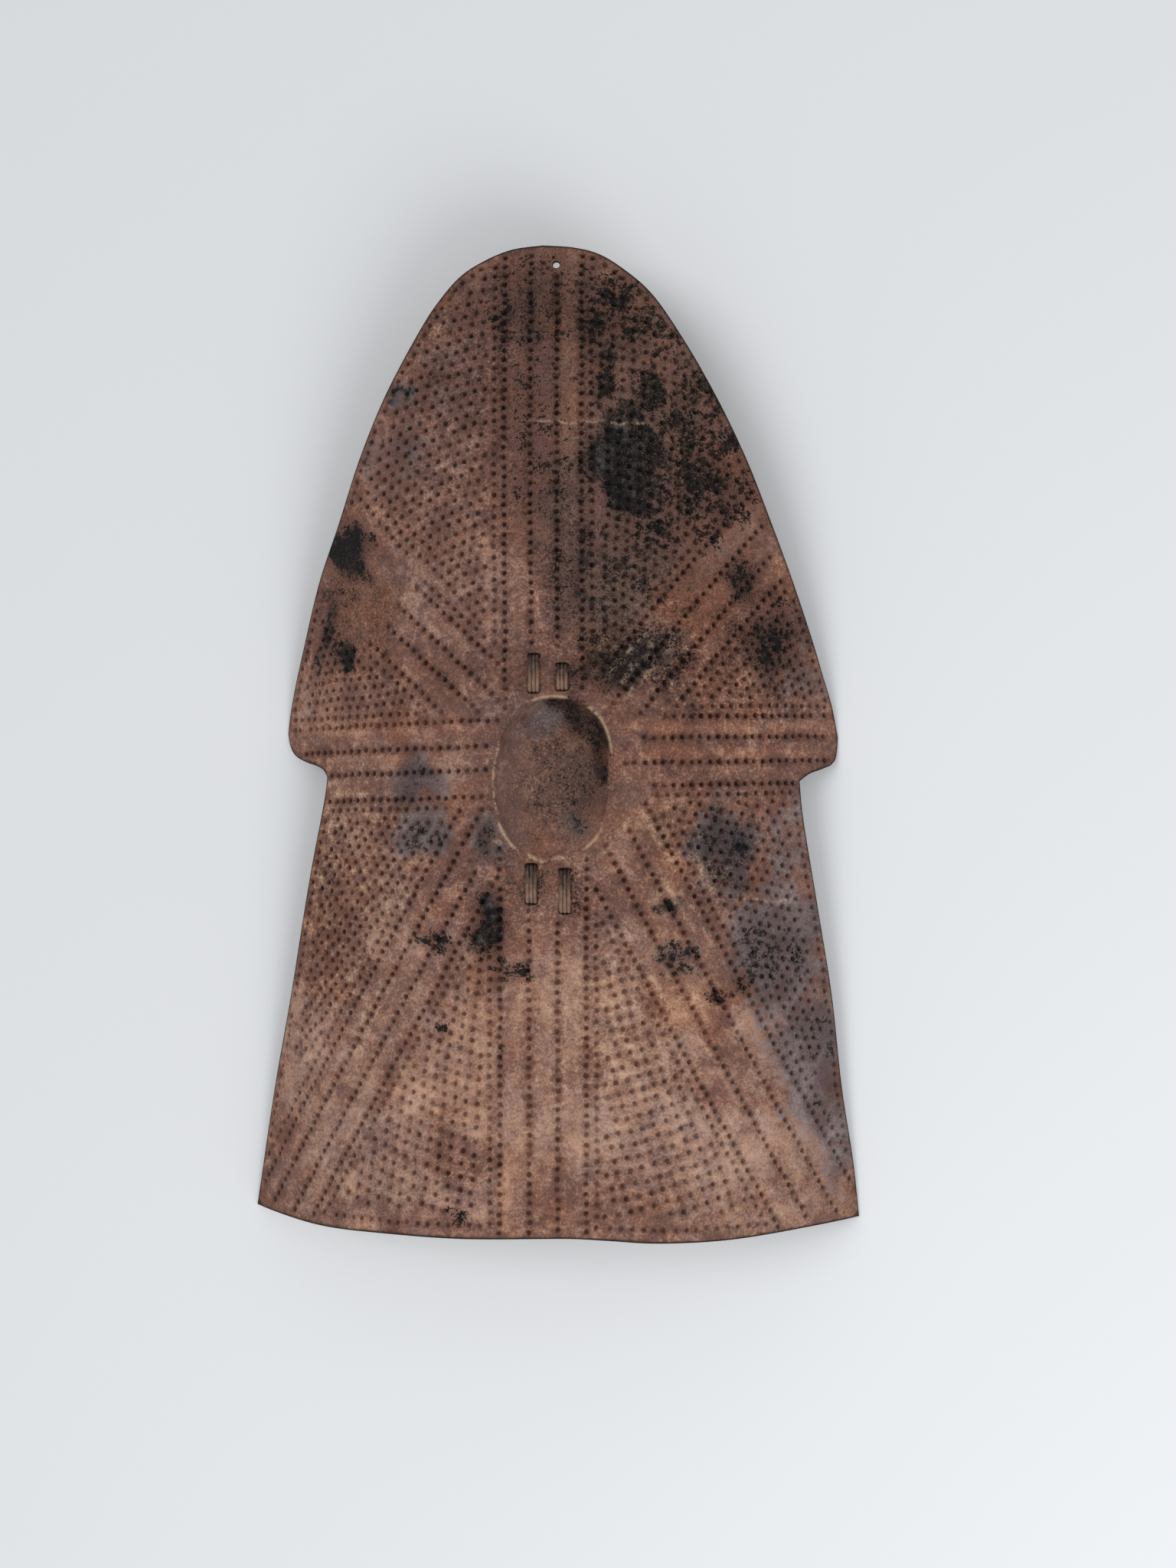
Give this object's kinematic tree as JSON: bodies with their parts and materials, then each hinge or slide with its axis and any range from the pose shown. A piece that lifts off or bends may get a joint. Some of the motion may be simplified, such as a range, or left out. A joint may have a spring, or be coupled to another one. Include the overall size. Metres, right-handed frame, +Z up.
{
  "type": "embossed hide shield",
  "caption": "Arched one-piece hide shield with a rounded tip, side lobes, punched radiating pattern, hollow oval boss and laced hand grips behind it.",
  "frame": {"origin": "middle of the footprint on the floor that the hide's back edges rest on, front face up", "axes": "+X across to the right of the front, +Y along the crown to the rounded tip, +Z up out of the front"},
  "size_m": [0.6682, 1.0488, 0.1742],
  "materials": {
    "hide": "dry, worn, matt",
    "lace": "dark, worn, matt"
  },
  "bodies": {
    "root": {"shield_hide": "hide", "grip_lace_left": "lace", "grip_lace_right": "lace"}
  },
  "joints": []
}
